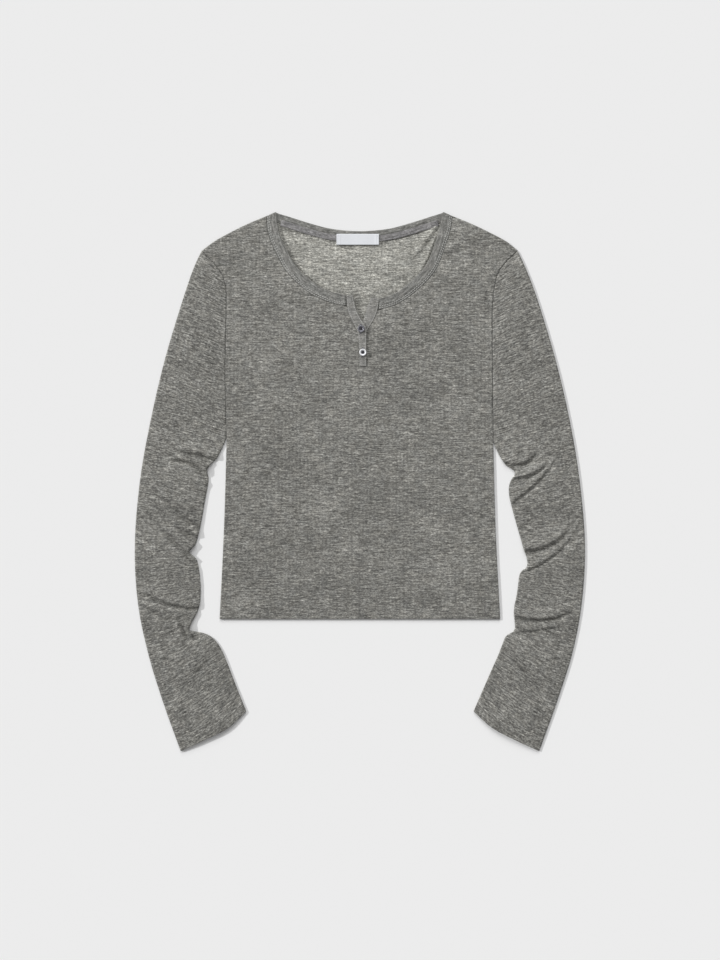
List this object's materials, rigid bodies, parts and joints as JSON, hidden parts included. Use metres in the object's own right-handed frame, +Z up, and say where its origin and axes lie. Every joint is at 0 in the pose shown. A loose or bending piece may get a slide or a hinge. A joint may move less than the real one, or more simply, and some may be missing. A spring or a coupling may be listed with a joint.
{
  "type": "long-sleeved henley shirt, laid flat",
  "caption": "Long-sleeved cropped henley shirt in heather-grey rib jersey, laid flat with the front up, with a bound scoop neck and a short buttoned placket.",
  "frame": {"origin": "on the surface that the shirt lies on, under the middle of its bounding box", "axes": "+Z up off the surface, out of the shirt's front; +Y from the hem towards the neck; +X towards the wearer's left sleeve"},
  "size_m": [0.5854, 0.7012, 0.0082],
  "materials": {
    "rib_jersey": "matt heather rib jersey",
    "neck_binding": "matt heather rib binding",
    "neck_tape": "smooth knitted tape",
    "label_satin": "woven satin, blank",
    "smoke_button": "polished smoke",
    "pearl_button": "polished pearl"
  },
  "bodies": {
    "root": {"back": "rib_jersey", "front": "rib_jersey", "sleeve_left": "rib_jersey", "sleeve_right": "rib_jersey", "neckband": "neck_binding", "placket_under": "neck_binding", "placket_top": "neck_binding", "neck_tape": "neck_tape", "label": "label_satin", "button_upper": "smoke_button", "button_lower": "pearl_button"}
  },
  "joints": []
}
